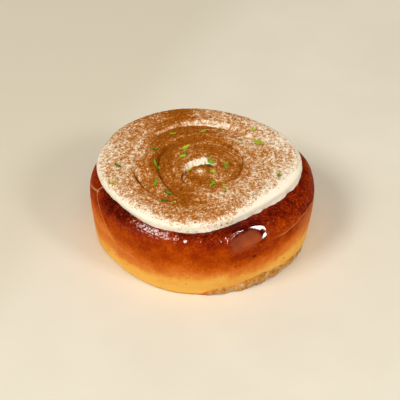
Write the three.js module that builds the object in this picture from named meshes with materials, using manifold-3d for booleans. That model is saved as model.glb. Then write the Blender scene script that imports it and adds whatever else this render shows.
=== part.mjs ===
// An iced cinnamon bun in three pieces: the glazed bun, a disc of cream icing swirled with the tip of a
// palette knife and strewn with shreds of lime zest, and the crust of sugar that leaked out and
// caramelised at the foot of the bun.
//
// Millimetres, +Z up. The origin is on the surface that the bun stands on, under the middle of the whole.
// -Y is the front, the side that shows the crust. Angles are in degrees, from +X towards +Y.

import * as THREE from "three";
import { mergeVertices } from "three/addons/utils/BufferGeometryUtils.js";
import Module from "manifold-3d";

const wasm = await Module();
wasm.setup();

// ---------------------------------------------------------------------------------------- dimensions

// Air between two pieces that touch.
const FIT = 0.3;

// The bun's axis. Its sides are uneven, so this is a little off the middle of the whole. Every other place
// is measured from it.
const AXIS = { x: -0.35, y: 0.43 };

// The bun rose in a ring mould: its side widens up to the belly, then rounds over to a nearly flat top.
const BUN = {
  soleRadius: 44.0,
  footRadius: 46.4,
  footHeight: 2.6,
  bellyRadius: 48.7,
  bellyHeight: 23.5,
  topRadius: 40.5,
  topHeight: 32.0,
  segments: 76,
};

// How far an outline is from round: each wave swells it `count` times round, most at `towards`.
const BUN_WAVES = [
  { count: 1, swell: 0.4, towards: 0 },
  { count: 2, swell: 0.5, towards: 0 },
  { count: 3, swell: 0.45, towards: 35 },
  { count: 4, swell: 0.8, towards: -3 },
];

// The loose end of the rolled dough is stuck down on the front left. Its edge runs up the side and bends
// back over the shoulder, and the dough behind it lies lower.
const SEAM = {
  angleAtFoot: 219,
  angleAtTop: 196,
  step: 0.9,
  spread: 3,
  fadeOut: 50,
};

// The icing lies a little to the back left, and hangs over the shoulder. `lean` is how much higher its
// edge is on the thick side than it is on average.
const ICING = {
  centreX: -1.8,
  centreY: 2.8,
  rimRadius: 43.5,
  rimHeight: 33.4,
  lipHeight: 30.6,
  lipInset: 1.2,
  crestRadius: 36,
  crestHeight: 36.4,
  middleHeight: 35.4,
  lean: 0.4,
  thickTowards: -40,
  segments: 72,
};

const ICING_WAVES = [
  { count: 2, swell: 0.8, towards: 5 },
  { count: 3, swell: 1.7, towards: 14 },
  { count: 4, swell: 0.9, towards: -4 },
];

// The knife's tip left one groove, wound outwards from the middle. It rises out of the icing at its outer
// end. Its outer wall is steep, and its floor slopes up towards the middle.
const GROOVE = {
  centreX: 2.0,
  centreY: 0,
  startRadius: 5.6,
  pitch: 11.1,
  turns: 2.7,
  evenTurns: 2.25,
  endPitch: 3,
  depth: 2.2,
  wallWidth: 2.0,
  floorWidth: 8.8,
  riseTurns: 0.4,
  stepsPerTurn: 32,
};

// The knob of icing that the knife left in the middle of the groove.
const KNOB = { x: -0.6, y: -3.6, length: 9, width: 6.5, height: 1.1 };

// A leak of sugar and butter, set hard along the foot of the bun on its front right.
const CRUST = {
  fromAngle: -98,
  toAngle: -14,
  radius: 45.0,
  width: 3.8,
  height: 4.4,
  lumps: 0.22,
  steps: 46,
  sides: 9,
};

// Every shred of zest is a strip of one width, drawn in at its ends and pressed into the icing.
const ZEST = { width: 1.15, tipShare: 0.5, thickness: 0.8, sink: 0.35, steps: 4 };

// Where the shreds fell, which way they point, and how far each bows to one side.
const SHREDS = [
  { x: 25.6, y: 16.6, length: 6.5, heading: -41, bow: 0.7 },
  { x: 11.0, y: 0.6, length: 5.6, heading: 78, bow: -0.5 },
  { x: 4.2, y: 3.9, length: 4.8, heading: -49, bow: 0.5 },
  { x: 3.1, y: -0.4, length: 3.9, heading: -30, bow: 0.2 },
  { x: 5.6, y: -12.3, length: 5.4, heading: 110, bow: 0.6 },
  { x: 4.6, y: -14.0, length: 4.4, heading: 62, bow: -0.5 },
  { x: -19.6, y: 0.9, length: 5.0, heading: -52, bow: 0.3 },
  { x: -19.5, y: -12.2, length: 5.4, heading: 84, bow: 0.4 },
  { x: -14.4, y: -19.6, length: 4.6, heading: -45, bow: 0.6 },
  { x: -15.6, y: -26.0, length: 3.6, heading: 5, bow: 0.4 },
  { x: -6.9, y: 13.8, length: 4.6, heading: 38, bow: -0.2 },
  { x: -7.0, y: 9.4, length: 3.4, heading: 58, bow: 0.4 },
  { x: -8.2, y: 7.2, length: 3.2, heading: 30, bow: -0.4 },
  { x: -20.9, y: 12.3, length: 3.4, heading: -6, bow: -0.5 },
  { x: -12.7, y: 23.7, length: 3.2, heading: 8, bow: -0.4 },
  { x: 1.2, y: 25.0, length: 4.0, heading: 34, bow: 0.2 },
  { x: 24.0, y: 25.5, length: 2.4, heading: -48, bow: 0.1 },
  { x: -36.6, y: -1.0, length: 3.8, heading: -40, bow: 0.2 },
  { x: -38.4, y: -13.0, length: 3.2, heading: 14, bow: 0.5 },
  { x: 34.1, y: -8.7, length: 2.6, heading: 80, bow: 0.1 },
  { x: -4.8, y: -1.2, length: 3.0, heading: 24, bow: 0.2 },
  { x: 5.2, y: -4.6, length: 2.6, heading: 8, bow: -0.2 },
  { x: 0.0, y: 2.6, length: 1.8, heading: 35, bow: 0.1 },
  { x: -11.4, y: -26.4, length: 1.9, heading: 66, bow: 0.1 },
  { x: 10.0, y: -14.8, length: 1.8, heading: 10, bow: 0.1 },
  { x: 10.4, y: -19.2, length: 1.6, heading: 62, bow: 0.1 },
  { x: 8.4, y: 27.0, length: 1.8, heading: 25, bow: 0.1 },
  { x: 17.6, y: 19.0, length: 1.7, heading: 40, bow: 0.1 },
];

// ------------------------------------------------------------------------------------------- helpers

const radians = THREE.MathUtils.degToRad;
const { smoothstep, lerp } = THREE.MathUtils;

// How much the waves swell an outline in one direction.
function swellAt(waves, angle) {
  return waves.reduce(
    (sum, wave) => sum + wave.swell * Math.cos(wave.count * (angle - radians(wave.towards))),
    0,
  );
}

// A closed geometry as a solid that can be cut and joined.
function toSolid(geometry) {
  const bare = geometry.clone();
  bare.deleteAttribute("normal");
  bare.deleteAttribute("uv");
  const merged = mergeVertices(bare, 1e-4);
  const corners = merged.index.array;
  const faces = [];
  for (let i = 0; i < corners.length; i += 3) {
    const [a, b, c] = corners.slice(i, i + 3);
    if (a !== b && b !== c && c !== a) faces.push(a, b, c);
  }
  return new wasm.Manifold(
    new wasm.Mesh({
      numProp: 3,
      vertProperties: new Float32Array(merged.attributes.position.array),
      triVerts: new Uint32Array(faces),
    }),
  );
}

// The largest body of a solid, without the loose scraps and the sealed hollows that joining can leave.
function largestBody(solid) {
  return solid.decompose().reduce((largest, body) => (body.volume() > largest.volume() ? body : largest));
}

// A solid as a geometry for a mesh.
function toGeometry(solid) {
  const mesh = solid.getMesh();
  const geometry = new THREE.BufferGeometry();
  geometry.setAttribute("position", new THREE.BufferAttribute(mesh.vertProperties, 3));
  geometry.setIndex(new THREE.BufferAttribute(mesh.triVerts, 1));
  geometry.computeVertexNormals();
  return geometry;
}

// Turns a path, from the axis below to the axis above, about the Z axis. `pointsOnEach` says how many
// points each of its curves gets.
function turnPath(path, pointsOnEach, segments) {
  const start = path.curves[0].getPoint(0);
  const points = path.curves.flatMap((curve, i) => curve.getPoints(pointsOnEach[i]).slice(1));
  return new THREE.LatheGeometry([start, ...points], segments).rotateX(Math.PI / 2);
}

// Moves each vertex of a geometry to the place that `place` gives for it.
function reshape(geometry, place) {
  const position = geometry.attributes.position;
  const point = new THREE.Vector3();
  for (let i = 0; i < position.count; i++) {
    place(point.fromBufferAttribute(position, i));
    position.setXYZ(i, point.x, point.y, point.z);
  }
  return geometry;
}

// ----------------------------------------------------------------------------------------------- bun

// The bun's outline, `grow` larger all round.
function bunPath(grow) {
  const path = new THREE.Path();
  path.moveTo(0, -grow);
  path.lineTo(BUN.soleRadius, -grow);
  path.quadraticCurveTo(BUN.footRadius + grow, -grow, BUN.footRadius + grow, BUN.footHeight);
  path.bezierCurveTo(
    lerp(BUN.footRadius, BUN.bellyRadius, 0.45) + grow,
    lerp(BUN.footHeight, BUN.bellyHeight, 0.35),
    BUN.bellyRadius + grow,
    lerp(BUN.footHeight, BUN.bellyHeight, 0.7),
    BUN.bellyRadius + grow,
    BUN.bellyHeight,
  );
  path.bezierCurveTo(
    BUN.bellyRadius + grow,
    lerp(BUN.bellyHeight, BUN.topHeight, 0.6),
    lerp(BUN.topRadius, BUN.bellyRadius, 0.6),
    BUN.topHeight + grow,
    BUN.topRadius,
    BUN.topHeight + grow,
  );
  path.lineTo(0, BUN.topHeight + grow);
  return path;
}

function seamAngle(height) {
  const bend = smoothstep(height, BUN.bellyHeight - 2, BUN.topHeight);
  return lerp(SEAM.angleAtFoot, SEAM.angleAtTop, bend);
}

// How far the dough behind the loose end lies below the dough in front of it.
function seamStep(angle, height) {
  const behind = seamAngle(height) - ((THREE.MathUtils.radToDeg(angle) + 360) % 360);
  return SEAM.step * smoothstep(behind, 0, SEAM.spread) * (1 - smoothstep(behind, 0, SEAM.fadeOut));
}

function bunGeometry(grow) {
  const lathe = turnPath(bunPath(grow), [1, 3, 7, 8, 1], BUN.segments);
  return reshape(lathe, (point) => {
    const angle = Math.atan2(point.y, point.x);
    const radius = Math.hypot(point.x, point.y);
    const outwards = (radius / BUN.bellyRadius) ** 2;
    const moved = radius + outwards * (swellAt(BUN_WAVES, angle) - seamStep(angle, point.z));
    point.x = moved * Math.cos(angle);
    point.y = moved * Math.sin(angle);
  });
}

// --------------------------------------------------------------------------------------------- crust

// Uneven lumps along the crust, from sines that don't repeat within its length.
function crustLump(along, around) {
  return Math.sin(31 * along + 1.3 * around) * Math.sin(17 * along + 2.1 * around + 0.7);
}

// A cylinder bent round the foot of the bun, thick in the middle of its length and drawn out at its ends.
// It is `grow` larger all round.
function crustGeometry(grow) {
  const rod = new THREE.CylinderGeometry(1, 1, 1, CRUST.sides, CRUST.steps);
  return reshape(rod, (point) => {
    const along = point.y + 0.5;
    const around = Math.atan2(point.z, point.x);
    const fullness = Math.sqrt(Math.sin(Math.PI * lerp(0.02, 0.98, along)));
    const swell = fullness * (1 + CRUST.lumps * crustLump(along, around));
    const across = point.x * (swell * CRUST.width * 0.5 + grow);
    const up = point.z * (swell * CRUST.height * 0.5 + grow);
    const angle = radians(lerp(CRUST.fromAngle, CRUST.toAngle, along));
    const radius = CRUST.radius + swellAt(BUN_WAVES, angle) + across;
    point.set(
      radius * Math.cos(angle),
      radius * Math.sin(angle),
      Math.max(-grow, up + CRUST.height * 0.5 * fullness),
    );
  });
}

// --------------------------------------------------------------------------------------------- icing

// The icing's outline from below its middle, round its edge, to the middle of its top. It reaches into the
// bun, which is then cut away from it.
function icingPath() {
  const path = new THREE.Path();
  const deep = BUN.topHeight - 1;
  path.moveTo(0, deep);
  path.lineTo(BUN.topRadius - 1, deep);
  path.lineTo(ICING.rimRadius - ICING.lipInset, ICING.lipHeight);
  path.quadraticCurveTo(ICING.rimRadius, ICING.lipHeight, ICING.rimRadius, ICING.rimHeight);
  path.bezierCurveTo(
    ICING.rimRadius,
    lerp(ICING.rimHeight, ICING.crestHeight, 0.75),
    lerp(ICING.rimRadius, ICING.crestRadius, 0.35),
    ICING.crestHeight,
    ICING.crestRadius,
    ICING.crestHeight,
  );
  path.bezierCurveTo(
    ICING.crestRadius * 0.65,
    ICING.crestHeight,
    ICING.crestRadius * 0.45,
    ICING.middleHeight,
    0,
    ICING.middleHeight,
  );
  return path;
}

function icingBlank() {
  const lathe = turnPath(icingPath(), [1, 1, 3, 6, 4], ICING.segments);
  return reshape(lathe, (point) => {
    const angle = Math.atan2(point.y, point.x);
    const radius = Math.hypot(point.x, point.y);
    const outwards = radius / ICING.rimRadius;
    const moved = radius + outwards ** 2 * swellAt(ICING_WAVES, angle);
    const above = smoothstep(point.z, ICING.lipHeight, ICING.rimHeight);
    const leaned = ICING.lean * Math.cos(angle - radians(ICING.thickTowards));
    point.x = ICING.centreX + moved * Math.cos(angle);
    point.y = ICING.centreY + moved * Math.sin(angle);
    point.z += above * outwards ** 3 * leaned;
  });
}

// The height of the icing's top before the groove is cut.
function icingHeight(x, y) {
  const outwards = Math.hypot(x - ICING.centreX, y - ICING.centreY) / ICING.crestRadius;
  return lerp(ICING.middleHeight, ICING.crestHeight, smoothstep(outwards, 0, 1));
}

// The crest of the groove's outer wall, as a curve that winds out from the middle.
class GrooveCurve extends THREE.Curve {
  getPoint(t, target = new THREE.Vector3()) {
    const turns = t * GROOVE.turns;
    const late = Math.max(0, turns - GROOVE.evenTurns);
    const radius = GROOVE.startRadius + GROOVE.pitch * (turns - late) + GROOVE.endPitch * late;
    const angle = 2 * Math.PI * turns;
    const x = GROOVE.centreX + radius * Math.cos(angle);
    const y = GROOVE.centreY + radius * Math.sin(angle);
    const rise = GROOVE.depth * smoothstep(turns, GROOVE.turns - GROOVE.riseTurns, GROOVE.turns);
    return target.set(x, y, icingHeight(x, y) + rise);
  }
}

// The groove's section: x runs down and y runs inwards, from the crest of its outer wall.
function grooveSolid() {
  const above = -GROOVE.depth;
  const section = new THREE.Shape([
    new THREE.Vector2(above, 0),
    new THREE.Vector2(0, 0),
    new THREE.Vector2(GROOVE.depth, GROOVE.wallWidth),
    new THREE.Vector2(0.8 * GROOVE.depth, 1.8 * GROOVE.wallWidth),
    new THREE.Vector2(0, GROOVE.floorWidth),
    new THREE.Vector2(above, GROOVE.floorWidth),
  ]);
  return toSolid(
    new THREE.ExtrudeGeometry(section, {
      steps: Math.round(GROOVE.turns * GROOVE.stepsPerTurn),
      extrudePath: new GrooveCurve(),
    }),
  );
}

function knobSolid(heightAt) {
  const ball = new THREE.SphereGeometry(0.5, 20, 10).rotateX(Math.PI / 2);
  ball.scale(KNOB.length, KNOB.width, 2 * KNOB.height);
  return toSolid(ball.translate(KNOB.x, KNOB.y, heightAt(KNOB.x, KNOB.y)));
}

// One shred: a strip that follows the icing under it.
function shredSolid(shred, heightAt) {
  const strip = new THREE.BoxGeometry(shred.length, ZEST.width, ZEST.thickness, ZEST.steps, 1, 1);
  const heading = radians(shred.heading);
  reshape(strip, (point) => {
    const towardsTip = (2 * point.x) / shred.length;
    const across = point.y * lerp(1, ZEST.tipShare, towardsTip ** 2) + shred.bow * towardsTip ** 2;
    const x = shred.x + point.x * Math.cos(heading) - across * Math.sin(heading);
    const y = shred.y + point.x * Math.sin(heading) + across * Math.cos(heading);
    point.set(x, y, heightAt(x, y) + point.z + ZEST.thickness / 2 - ZEST.sink);
  });
  return toSolid(strip);
}

// A function that gives the height of a solid's upper side at a place.
function surfaceOf(solid) {
  const mesh = new THREE.Mesh(toGeometry(solid));
  const down = new THREE.Vector3(0, 0, -1);
  const ray = new THREE.Raycaster();
  return (x, y) => {
    ray.set(new THREE.Vector3(x, y, 2 * ICING.crestHeight), down);
    return ray.intersectObject(mesh)[0].point.z;
  };
}

function icingSolid() {
  const grooved = toSolid(icingBlank()).subtract(toSolid(bunGeometry(FIT))).subtract(grooveSolid());
  const iced = grooved.add(knobSolid(surfaceOf(grooved)));
  const heightAt = surfaceOf(iced);
  return largestBody(SHREDS.reduce((solid, shred) => solid.add(shredSolid(shred, heightAt)), iced));
}

// ---------------------------------------------------------------------------------------------- part

const SUBPARTS = [
  {
    name: "bun",
    solid: toSolid(bunGeometry(0)).subtract(toSolid(crustGeometry(FIT))),
    material: new THREE.MeshStandardMaterial({ color: "#a34a12", roughness: 0.35, metalness: 0 }),
  },
  {
    name: "icing",
    solid: icingSolid(),
    material: new THREE.MeshStandardMaterial({ color: "#f3e6cd", roughness: 0.6, metalness: 0 }),
  },
  {
    name: "crust",
    solid: toSolid(crustGeometry(0)),
    material: new THREE.MeshStandardMaterial({ color: "#b9772c", roughness: 0.4, metalness: 0 }),
  },
];

const part = new THREE.Group();
for (const { name, solid, material } of SUBPARTS) {
  const mesh = new THREE.Mesh(toGeometry(solid), material);
  mesh.name = name;
  mesh.position.set(AXIS.x, AXIS.y, 0);
  part.add(mesh);
}

export default part;
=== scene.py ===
# %% [markdown]
# # An iced cinnamon bun
#
# The bun rose in a ring mould, was brushed with egg, baked and glazed. A disc of cream icing was spread
# on it and swirled with the tip of a palette knife, then dusted with cinnamon and strewn with shreds of
# lime zest. A little sugar leaked out at its foot and caramelised.
#
# The solids of the bun, its icing and its crust are loaded as a fixed frame. Each gets a finer piece of
# the same form in its place, and the zest and the cinnamon are laid on top of the icing.

# %% Load the solids
import itertools
import math

import bmesh
import bpy
import numpy as np
from mathutils import Matrix, Vector
from mathutils.bvhtree import BVHTree
from mathutils.geometry import interpolate_bezier


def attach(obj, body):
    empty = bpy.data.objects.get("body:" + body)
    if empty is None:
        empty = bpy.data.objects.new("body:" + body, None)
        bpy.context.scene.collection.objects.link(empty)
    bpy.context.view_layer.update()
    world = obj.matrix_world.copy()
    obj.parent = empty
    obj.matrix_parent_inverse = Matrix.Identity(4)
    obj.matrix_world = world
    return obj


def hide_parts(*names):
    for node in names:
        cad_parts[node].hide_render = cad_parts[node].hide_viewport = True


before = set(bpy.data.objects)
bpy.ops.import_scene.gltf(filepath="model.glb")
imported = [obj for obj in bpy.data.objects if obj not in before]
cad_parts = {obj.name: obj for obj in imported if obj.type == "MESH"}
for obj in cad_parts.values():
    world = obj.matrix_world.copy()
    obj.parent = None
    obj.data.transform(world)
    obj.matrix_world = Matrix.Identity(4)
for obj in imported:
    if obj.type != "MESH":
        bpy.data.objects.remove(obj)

MM = 0.001
TURN = 2 * math.pi
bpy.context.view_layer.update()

# %% [markdown]
# ## Helpers for shape
#
# Nearly all of a bun is round, so its pieces start as an outline of Bezier stretches, as with the pen
# tool, that is spun about an axis. A spun piece is too perfect for food. It could be sculpted by hand; here
# its vertices are moved in code, all in one NumPy array, so that the same bun comes out every time. Sizes
# are in millimetres up to where Blender, which works in metres, reads them.

# %% Outlines, spins and vertex moves


def outline(*stretches):
    """Points of (distance from the axis, height), from stretches of (knot, handle, handle, knot, points)."""
    points = []
    for start, leave, arrive, end, count in stretches:
        knots = [Vector((r, 0, z)) for r, z in (start, leave, arrive, end)]
        points += interpolate_bezier(*knots, count + 1)[bool(points):]
    return points


def line(start, end, count):
    """A straight stretch for outline()."""
    third, two_thirds = [[mix(a, b, share) for a, b in zip(start, end)] for share in (1 / 3, 2 / 3)]
    return start, third, two_thirds, end, count


def spun(name, points, steps, sectors=20):
    """A closed piece: the outline, from the axis below to the axis above, turned about the Z axis.

    A spin slows down with every step it has made, so only one sector is spun. Its copies fill the turn.
    """
    bm = bmesh.new()
    vertices = [bm.verts.new(point * MM) for point in points]
    edges = [bm.edges.new(pair) for pair in zip(vertices, vertices[1:])]
    bmesh.ops.spin(bm, geom=vertices + edges, cent=(0, 0, 0), axis=(0, 0, 1), angle=TURN / sectors,
                   steps=steps // sectors)
    sector = bm.verts[:] + bm.edges[:] + bm.faces[:]
    for k in range(1, sectors):
        copy = bmesh.ops.duplicate(bm, geom=sector)["geom"]
        bmesh.ops.rotate(bm, verts=[part for part in copy if isinstance(part, bmesh.types.BMVert)],
                         cent=(0, 0, 0), matrix=Matrix.Rotation(TURN * k / sectors, 3, "Z"))
    bmesh.ops.remove_doubles(bm, verts=bm.verts, dist=0.001 * MM)
    bmesh.ops.recalc_face_normals(bm, faces=bm.faces)
    return finished(name, bm)


def shown(name, data):
    """An object made of some data, at the origin of the scene."""
    thing = bpy.data.objects.new(name, data)
    bpy.context.scene.collection.objects.link(thing)
    return thing


def finished(name, bm):
    """Turns a bmesh into a piece with smooth faces."""
    mesh = bpy.data.meshes.new(name)
    bm.to_mesh(mesh)
    bm.free()
    mesh.shade_smooth()
    print(name + ":", len(mesh.vertices), "vertices")
    return shown(name, mesh)


def places(piece):
    """Every vertex of a piece, as an array of rows x, y, z in mm."""
    flat = np.empty(len(piece.data.vertices) * 3)
    piece.data.vertices.foreach_get("co", flat)
    return flat.reshape(-1, 3) / MM


def put(piece, points):
    """Moves every vertex of a piece to its row of points, in mm."""
    piece.data.vertices.foreach_set("co", (points * MM).ravel())
    piece.data.update()


def note(piece, name, values):
    """Writes a number for each vertex, which a material can read as an attribute."""
    attribute = piece.data.attributes.new(name, "FLOAT", "POINT")
    attribute.data.foreach_set("value", np.asarray(values, np.float32))


def bumps(points, size, octaves=2, seed=0):
    """Smooth noise from about -1 to 1 at each point: random numbers on a lattice, blended between."""
    lattice = np.random.default_rng(seed).uniform(-1, 1, (64, 64, 64))
    total = np.zeros(len(points))
    for octave in range(octaves):
        cell, share = np.divmod(points * 2 ** octave / size, 1)
        share = share * share * (3 - 2 * share)
        for corner in itertools.product((0, 1), repeat=3):
            weight = np.prod(np.where(corner, share, 1 - share), axis=1)
            total += weight * lattice[tuple((cell.astype(int) + corner).T % 64)] / 2 ** octave
    return total


def smooth_step(values, low, high):
    """0 below low, 1 above high and a smooth slope between, as a material's Smoothstep."""
    t = np.clip((values - low) / (high - low), 0, 1)
    return t * t * (3 - 2 * t)


def bell(values, middle, width):
    """1 at the middle, falling smoothly to almost nothing a width away."""
    return np.exp(-3 * ((values - middle) / width) ** 2)


def between(values, starts, full, fades, gone):
    """0 before a stretch, 1 on it and 0 after it, with a smooth slope up and another down."""
    return smooth_step(values, starts, full) * (1 - smooth_step(values, fades, gone))


def mix(a, b, share):
    """a, b or what lies a share of the way from a to b."""
    return a + (b - a) * share


def read(table, values):
    """What a table of (place, value) rows says at each place, in a straight line from row to row."""
    return np.interp(values, *zip(*table))


# %% Directions and distances about an upright axis


def turned(degrees, middle):
    """How far each direction is from a middle one, from -180 to 180 degrees."""
    return (degrees - middle + 180) % 360 - 180


def polar(radius, around, height, middle=(0, 0)):
    """Rows of x, y and z, from distances and directions about an upright axis."""
    x, y = middle[0] + radius * np.cos(around), middle[1] + radius * np.sin(around)
    return np.column_stack((x, y, height))


def waves(around, table):
    """How far an outline swells in each direction, from rows of count, mm and direction."""
    return sum(high * np.cos(count * (around - math.radians(at))) for count, high, at in table)


# %% [markdown]
# ## Helpers for colour and nodes
#
# Colours are picked as sRGB hex values, as a paint program shows them, and turned to the linear light of
# Blender's nodes. One function adds a node with its settings and links, so that each finish can be read
# from top to bottom.

# %% Colours and nodes


def linear(code):
    """An sRGB hex colour as the linear red, green, blue and alpha of Blender's sockets."""
    parts = [int(code[i:i + 2], 16) / 255 for i in (1, 3, 5)]
    return [c / 12.92 if c <= 0.04045 else ((c + 0.055) / 1.055) ** 2.4 for c in parts] + [1.0]


def add(tree, kind, inputs=None, stops=None, **settings):
    """Adds a node. inputs gives sockets a value, or what feeds them; stops are the colours of a ramp."""
    node = tree.nodes.new("ShaderNode" + kind)
    for name, value in settings.items():
        setattr(node, name, value)
    for socket, value in (inputs or {}).items():
        if isinstance(value, bpy.types.Node):
            value = value.outputs[0]
        if isinstance(value, bpy.types.NodeSocket):
            tree.links.new(value, node.inputs[socket])
        else:
            node.inputs[socket].default_value = value
    if stops:
        ramp = node.color_ramp.elements
        ramp[0].position, ramp[1].position = stops[0][0], stops[-1][0]
        for position, _ in stops[1:-1]:
            ramp.new(position)
        for element, (_, colour) in zip(ramp, stops):
            element.color = linear(colour) if isinstance(colour, str) else (*[colour] * 3, 1)
    return node


def dress(piece, name, build):
    """Gives a piece a material whose surface is what build(tree) makes."""
    material = bpy.data.materials.new(name)
    material.use_nodes = True
    tree = material.node_tree
    tree.nodes.clear()
    add(tree, "OutputMaterial", {"Surface": build(tree)})
    piece.data.materials.append(material)
    print("material:", name, "with", len(tree.nodes), "nodes")


# %% [markdown]
# ## The camera and the light
#
# The photograph looks down on the bun from 38 degrees above the table, through a long lens. Two soft
# boxes light it, a strong one on the front left and a weaker one on the front right, and both show in the
# glaze. The end of the left box that shines in the glaze is further round than the middle that throws the
# shadow, so it is made as two lights: one for the shadow, and one that only shows in the glaze.

# %% Camera
LOOK_DOWN = math.radians(38)
CAMERA_DISTANCE = 900 * MM
FRAME_WIDTH = 178.4 * MM
CAMERA_TARGET = Vector((-0.75, 0.43, 16.6)) * MM

camera = shown("camera", bpy.data.cameras.new("camera"))
camera.data.lens = camera.data.sensor_width * CAMERA_DISTANCE / FRAME_WIDTH
camera.data.clip_start = CAMERA_DISTANCE / 9
camera.location = CAMERA_TARGET + CAMERA_DISTANCE * Vector((0, -math.cos(LOOK_DOWN), math.sin(LOOK_DOWN)))
camera.rotation_euler = (math.pi / 2 - LOOK_DOWN, 0, 0)
bpy.context.scene.camera = camera
bpy.context.scene.view_settings.view_transform = "Standard"

# %% Soft boxes
LAMP_WHITE = "#fffaf4"


def soft_box(name, azimuth, elevation, distance, size, power):
    """An oblong area light that shines on the bun from a direction, in degrees from +X and above level."""
    light = bpy.data.lights.new(name, "AREA")
    light.shape = "RECTANGLE"
    light.size, light.size_y = size
    light.energy = power
    light.color = linear(LAMP_WHITE)[:3]
    a, e = math.radians(azimuth), math.radians(elevation)
    towards = Vector((math.cos(a) * math.cos(e), math.sin(a) * math.cos(e), math.sin(e)))
    lamp = shown(name, light)
    lamp.location = CAMERA_TARGET + towards * distance
    lamp.rotation_euler = towards.to_track_quat("Z", "Y").to_euler()
    return lamp


key = soft_box("soft_box_left", 218, 47, distance=1.6, size=(0.62, 0.5), power=13.5)
key.visible_glossy = False
shine = soft_box("shine_of_the_left_box", 208, 50, distance=1.6, size=(0.66, 0.5), power=12.9)
shine.visible_diffuse = False
soft_box("soft_box_right", -38, 37, distance=1.4, size=(0.3, 0.28), power=5)
fill = soft_box("fill_from_the_front", -68, 61, distance=1.8, size=(1.2, 1.2), power=9.1)
fill.visible_glossy = False
print("lights:", *bpy.data.lights.keys())

# %% Room light
ROOM_CREAM, ROOM_STRENGTH = "#fff3e2", 0.255

world = bpy.data.worlds.new("room")
world.use_nodes = True
room = world.node_tree.nodes["Background"]
room.inputs["Color"].default_value = linear(ROOM_CREAM)
room.inputs["Strength"].default_value = ROOM_STRENGTH
world.cycles_visibility.glossy = False
bpy.context.scene.world = world

# %% [markdown]
# ## The table
#
# The bun stands on smooth cream card. It only has to catch the shadows, so it is a plain square. A faint,
# broad mottle keeps it from looking like a flat fill. Its back left corner is painted darker and yellower:
# painted shade where the light falls off.

# %% Table
TABLE_HALF = 1.5
BEHIND_LEFT = (-1, 0.45, 0)


def card(tree):
    """Uncoated cream card: matt, cloudy with pulp about 40 mm across, and painted darker towards the back
    left.
    """
    position = add(tree, "TexCoord").outputs["Object"]
    cloud = add(tree, "TexNoise", {"Vector": position, "Scale": 1000 / 40, "Detail": 2})
    tint = add(tree, "ValToRGB", {"Fac": cloud}, stops=[(0.3, "#e8e3d2"), (0.7, "#ede8d8")])
    # Painted shade: the card darkens and yellows towards the back left, where the light falls off.
    away = add(tree, "VectorMath", {0: position, 1: BEHIND_LEFT}, operation="DOT_PRODUCT").outputs["Value"]
    painted_falloff_shade = add(tree, "MapRange", {"Value": away, "From Min": 45 * MM, "From Max": 90 * MM},
               interpolation_type="SMOOTHSTEP")
    paper = add(tree, "MixRGB", {"Fac": painted_falloff_shade, "Color1": tint, "Color2": linear("#e0dac6")})
    return add(tree, "BsdfPrincipled", {"Base Color": paper, "Roughness": 0.85})


bm = bmesh.new()
bmesh.ops.create_grid(bm, x_segments=1, y_segments=1, size=TABLE_HALF)
table = finished("table", bm)
dress(table, "cream_card", card)

# %% [markdown]
# ## The bun
#
# A ring mould gave the bun its straight side, which widens a little from the foot to the belly. Above
# the ring the dough rounded over. The outline is the solid's, with many more points on the side and the
# shoulder, where the skin shows. The fine marks are on the front, so the vertices are crowded together
# there and spread out at the back, which shows more detail with the same number of them.

# %% Bun: outline
AXIS = Vector((-0.35, 0.43, 0))
SOLE, FOOT, BELLY, TOP = (44, 0), (46.4, 2.6), (48.7, 23.5), (40.5, 32)
ICING_COVERS = 34
SPIN_STEPS = 560
BUN_WAVES = [(1, 0.4, 0), (2, 0.5, 0), (3, 0.45, 35), (4, 0.8, -3)]  # count, mm and direction of each wave

bun_outline = outline(
    line((0, 0), SOLE, 8),
    (SOLE, (mix(SOLE[0], FOOT[0], 0.67), 0), (FOOT[0], FOOT[1] / 3), FOOT, 12),
    (FOOT, (mix(FOOT[0], BELLY[0], 0.45), mix(FOOT[1], BELLY[1], 0.35)),
     (BELLY[0], mix(FOOT[1], BELLY[1], 0.7)), BELLY, 62),
    (BELLY, (BELLY[0], mix(BELLY[1], TOP[1], 0.6)), (mix(TOP[0], BELLY[0], 0.6), TOP[1]), TOP, 62),
    line(TOP, (ICING_COVERS, TOP[1]), 14),
    line((ICING_COVERS, TOP[1]), (0, TOP[1]), 6),
)
bun = spun("bun_skin", bun_outline, SPIN_STEPS)

# %% Bun: where its vertices are
CROWDING = 0.35  # the largest share of a radian that a vertex is moved round towards the front
MM_PER_DEGREE = math.radians(1) * BELLY[0]

x, y, height = places(bun).T.copy()
radius = np.hypot(x, y)
around = np.arctan2(y, x)
around -= CROWDING * np.cos(around)
degrees = np.degrees(around) % 360
outwards = (radius / BELLY[0]) ** 2
on_side = smooth_step(radius, 30, 40)
skin = polar(radius, around, height)


def across(middle):
    """How many mm round the bun each vertex is from a direction in degrees."""
    return turned(degrees, middle) * MM_PER_DEGREE


def blob(direction, up, wide, high):
    """1 in the middle of an oval spot on the skin, fading outwards. Direction in degrees, the rest in mm."""
    return bell(np.hypot(across(direction) / wide, (height - up) / high), 0, 1)


print("vertices on the side and the shoulder:", int((on_side > 0.5).sum()))

# %% [markdown]
# The roll of dough ends on the front left. Its loose end makes a fine raised edge that climbs the side and
# bends back over the shoulder, and the dough behind it lies lower. An edge could be cut into the mesh; here
# each vertex is told how far behind the edge it is, which lowers it now and colours it further on.

# %% Bun: the dough's loose end
SEAM_AT_FOOT, SEAM_BENDS = 217, 24  # degrees from +X at the foot, and how far back the edge has gone on top
SEAM_STEP, SEAM_STEP_WIDTH, SEAM_HOLLOW = 0.7, 1.4, 43
SEAM_WOBBLE = 0.35

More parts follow.
